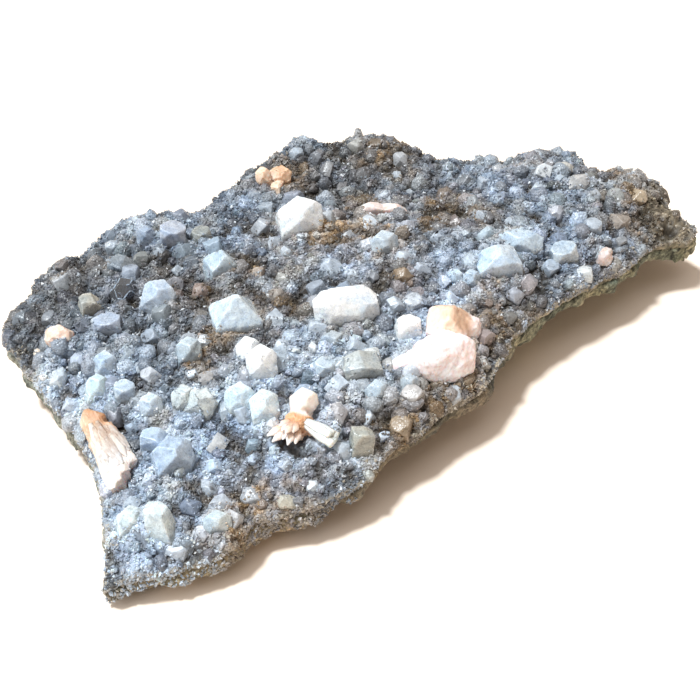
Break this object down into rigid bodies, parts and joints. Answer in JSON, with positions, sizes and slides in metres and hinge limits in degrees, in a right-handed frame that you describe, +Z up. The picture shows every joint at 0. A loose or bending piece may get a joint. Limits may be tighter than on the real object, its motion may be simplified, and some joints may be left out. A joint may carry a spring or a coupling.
{
  "type": "stilbite cluster",
  "caption": "Natural mineral specimen: a thin arched basalt plate coated with quartz druse, set with milky blocky crystals and peach-pink stilbite sheaves; rests on its underside.",
  "frame": {"origin": "under the middle of the plate's bounding box, on the surface that it rests on", "axes": "+X along the plate's length, from the broad end to the narrow tail; +Y across it, from the front lip to the back edge; +Z up, through the crystals"},
  "size_m": [0.1994, 0.113, 0.0347],
  "materials": {
    "basalt": "matte",
    "quartz_druse": "satin",
    "milky_crystal": "satin",
    "clear_crystal": "gloss",
    "stilbite": "satin"
  },
  "bodies": {
    "root": {"basalt_matrix": "basalt", "quartz_druse_crust": "quartz_druse", "clear_smoky_block_left": "clear_crystal", "pale_block_back_edge": "milky_crystal", "pale_block_back_left": "milky_crystal", "pale_block_far_right": "milky_crystal", "pale_block_front_centre": "milky_crystal", "pale_block_front_tip": "milky_crystal", "pale_block_left": "milky_crystal", "pale_block_under_lens": "milky_crystal", "pale_cream_block_back": "milky_crystal", "pale_cream_block_left": "milky_crystal", "pale_cream_group_left": "milky_crystal", "pale_crystal_back_centre": "milky_crystal", "pale_crystal_front_bay": "milky_crystal", "pale_crystal_left_middle": "milky_crystal", "pale_crystal_ridge": "milky_crystal", "pale_crystal_upper_left": "milky_crystal", "pale_cube_by_stilbite": "milky_crystal", "pale_group_centre_left": "milky_crystal", "pale_lavender_block_left": "milky_crystal", "pale_lens_centre": "milky_crystal", "pale_mint_crystal_left": "milky_crystal", "pale_pair_centre_left": "milky_crystal", "pale_pair_left_front": "milky_crystal", "pale_pair_right_of_centre": "milky_crystal", "pale_prism_front_lip": "milky_crystal", "pale_prism_front_tip": "milky_crystal", "pale_pyramid_left": "milky_crystal", "pale_round_crystal_left": "milky_crystal", "pale_round_front_centre": "milky_crystal", "pale_rounded_right": "milky_crystal", "pale_slab_below_centre": "milky_crystal", "pale_small_block_left": "milky_crystal", "pale_small_cube_centre": "milky_crystal", "pale_smoky_block_back": "milky_crystal", "pale_tent_right": "milky_crystal", "pale_wedge_back": "milky_crystal", "stilbite_blade_back": "stilbite", "stilbite_bowtie_centre": "stilbite", "stilbite_chip_right": "stilbite", "stilbite_group_back": "stilbite", "stilbite_nub_left": "stilbite", "stilbite_pair_right": "stilbite", "stilbite_sheaf_left_edge": "stilbite"}
  },
  "joints": []
}
